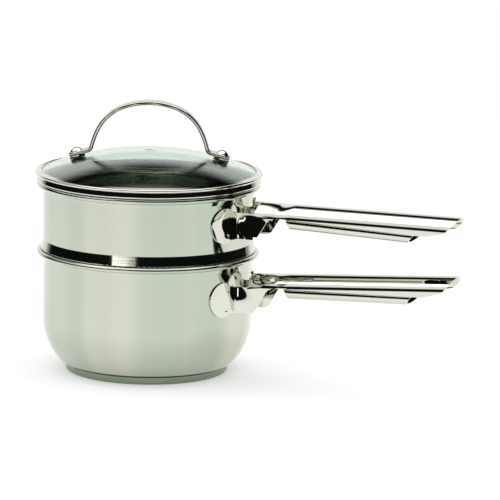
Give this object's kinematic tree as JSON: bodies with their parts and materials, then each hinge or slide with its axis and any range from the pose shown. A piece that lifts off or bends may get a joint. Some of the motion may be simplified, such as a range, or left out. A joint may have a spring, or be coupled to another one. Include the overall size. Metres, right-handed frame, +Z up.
{
  "type": "double boiler",
  "caption": "Stainless double boiler: a long-handled saucepan, a stepped long-handled insert that hangs in its rim, and a domed glass lid with a strap handle.",
  "frame": {"origin": "on the pot axis at the underside of the saucepan's base disc", "axes": "+Z up along the pot axis, +X along both long handles, +Y across them"},
  "size_m": [0.345, 0.1744, 0.2084],
  "materials": {
    "pot_steel": "stainless steel, polished",
    "base_steel": "stainless steel, spun satin",
    "core_aluminium": "plain, enclosed",
    "handle_steel": "stainless steel, mirror polished",
    "band_steel": "stainless steel, mirror polished",
    "strap_steel": "stainless steel, mirror polished",
    "fitting_steel": "stainless steel, polished",
    "gasket_rubber": "black silicone",
    "lid_glass": "clear tempered glass with a faint green tint"
  },
  "bodies": {
    "saucepan": {"lower_pot_body": "pot_steel", "lower_base_core": "core_aluminium", "lower_base_cap": "base_steel", "lower_handle_shell": "handle_steel", "lower_handle_trough": "handle_steel"},
    "insert": {"insert_body": "pot_steel", "upper_handle_shell": "handle_steel", "upper_handle_trough": "handle_steel"},
    "lid": {"lid_glass": "lid_glass", "lid_rim_band": "band_steel", "lid_handle": "strap_steel", "left_screw": "fitting_steel", "left_spacer": "fitting_steel", "left_outer_gasket": "gasket_rubber", "left_inner_gasket": "gasket_rubber", "left_washer": "fitting_steel", "left_nut": "fitting_steel", "right_screw": "fitting_steel", "right_spacer": "fitting_steel", "right_outer_gasket": "gasket_rubber", "right_inner_gasket": "gasket_rubber", "right_washer": "fitting_steel", "right_nut": "fitting_steel"}
  },
  "joints": [
    {"name": "insert_lift", "type": "slide", "parent": "saucepan", "child": "insert", "axis": [0, 0, 1], "range_m": [0, 0.08]},
    {"name": "lid_lift", "type": "slide", "parent": "insert", "child": "lid", "axis": [0, 0, 1], "range_m": [0, 0.05]}
  ]
}
